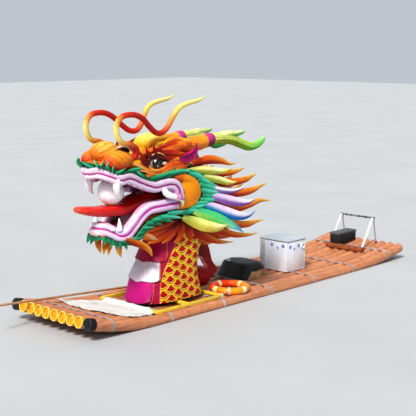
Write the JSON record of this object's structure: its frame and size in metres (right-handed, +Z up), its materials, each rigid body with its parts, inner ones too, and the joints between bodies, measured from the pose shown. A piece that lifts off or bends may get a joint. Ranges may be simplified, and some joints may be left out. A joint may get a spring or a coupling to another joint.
{
  "type": "bamboo raft",
  "caption": "Upturned bamboo-style tube raft, strapped side by side, with a painted dragon figurehead, lidded cabinet, covered generator and stern trestle.",
  "frame": {"origin": "middle of the raft's length and width, at the underside of the straps that it stands on", "axes": "+X to the stern along the tubes, +Y to the side away from the viewer of the picture, +Z up"},
  "size_m": [9.2486, 2.0126, 3.6594],
  "materials": {
    "bamboo_tube": "bamboo-coloured tube, faded and dusty",
    "black_cap": "matt black",
    "yellow_cap": "satin yellow",
    "strap": "pale woven strap",
    "yellow_frame": "yellow paint, worn",
    "pole": "dry bamboo",
    "white_cloth": "white woven sheet",
    "life_ring": "orange with pale bands",
    "cabinet_panel": "pale grey enamel",
    "steel": "stainless, satin",
    "black_cover": "black tarpaulin",
    "timber": "rough sawn",
    "black_box": "ribbed black plastic",
    "dragon_scales": "painted moulding",
    "dragon_head": "painted moulding",
    "dragon_fin": "painted moulding",
    "dragon_lip": "painted moulding",
    "dragon_tongue": "painted moulding",
    "pearl": "pearl white paint",
    "dragon_eye": "gloss dark paint",
    "dragon_horn": "painted moulding",
    "dragon_ear": "painted moulding",
    "dragon_mane": "painted moulding, many colours",
    "dragon_whisker": "painted moulding"
  },
  "bodies": {
    "raft": {"tube_1": "bamboo_tube", "tube_2": "bamboo_tube", "tube_3": "bamboo_tube", "tube_4": "bamboo_tube", "tube_5": "bamboo_tube", "tube_6": "bamboo_tube", "tube_7": "bamboo_tube", "tube_8": "bamboo_tube", "tube_9": "bamboo_tube", "tube_10": "bamboo_tube", "bow_cap_1": "black_cap", "bow_cap_2": "yellow_cap", "bow_cap_3": "yellow_cap", "bow_cap_4": "yellow_cap", "bow_cap_5": "yellow_cap", "bow_cap_6": "yellow_cap", "bow_cap_7": "yellow_cap", "bow_cap_8": "yellow_cap", "bow_cap_9": "yellow_cap", "bow_cap_10": "black_cap", "strap_1": "strap", "strap_2": "strap", "strap_3": "strap", "strap_4": "strap", "strap_5": "strap", "strap_6": "strap", "strap_7": "strap", "frame_rail_near": "yellow_frame", "frame_rail_far": "yellow_frame", "frame_beam_front": "yellow_frame", "frame_beam_middle": "yellow_frame", "frame_beam_rear": "yellow_frame", "punt_pole": "pole", "bow_sheet": "white_cloth", "life_ring": "life_ring", "cabinet_body": "cabinet_panel", "generator_cover": "black_cover", "generator_block": "timber", "trestle": "steel", "stern_bearer": "timber", "stern_box": "black_box", "neck_core": "dragon_scales", "head_shell": "dragon_head", "neck_fin": "dragon_fin", "nose": "dragon_head", "upper_lip": "dragon_lip", "lower_jaw": "dragon_lip", "tongue": "dragon_tongue", "pearl": "pearl", "eye_far": "dragon_eye", "eye_near": "dragon_eye", "horn_far": "dragon_horn", "horn_near": "dragon_horn", "ear_far": "dragon_ear", "ear_near": "dragon_ear", "mane_far": "dragon_mane", "mane_near": "dragon_mane", "whisker_far": "dragon_whisker", "whisker_near": "dragon_whisker"},
    "lid": {"cabinet_lid": "steel"}
  },
  "joints": [
    {"name": "cabinet_lid_hinge", "type": "hinge", "parent": "raft", "child": "lid", "pos_m": [1.709, 0.2404, 0.7904], "axis": [-1, 0, 0], "range_deg": [0, 100]}
  ]
}
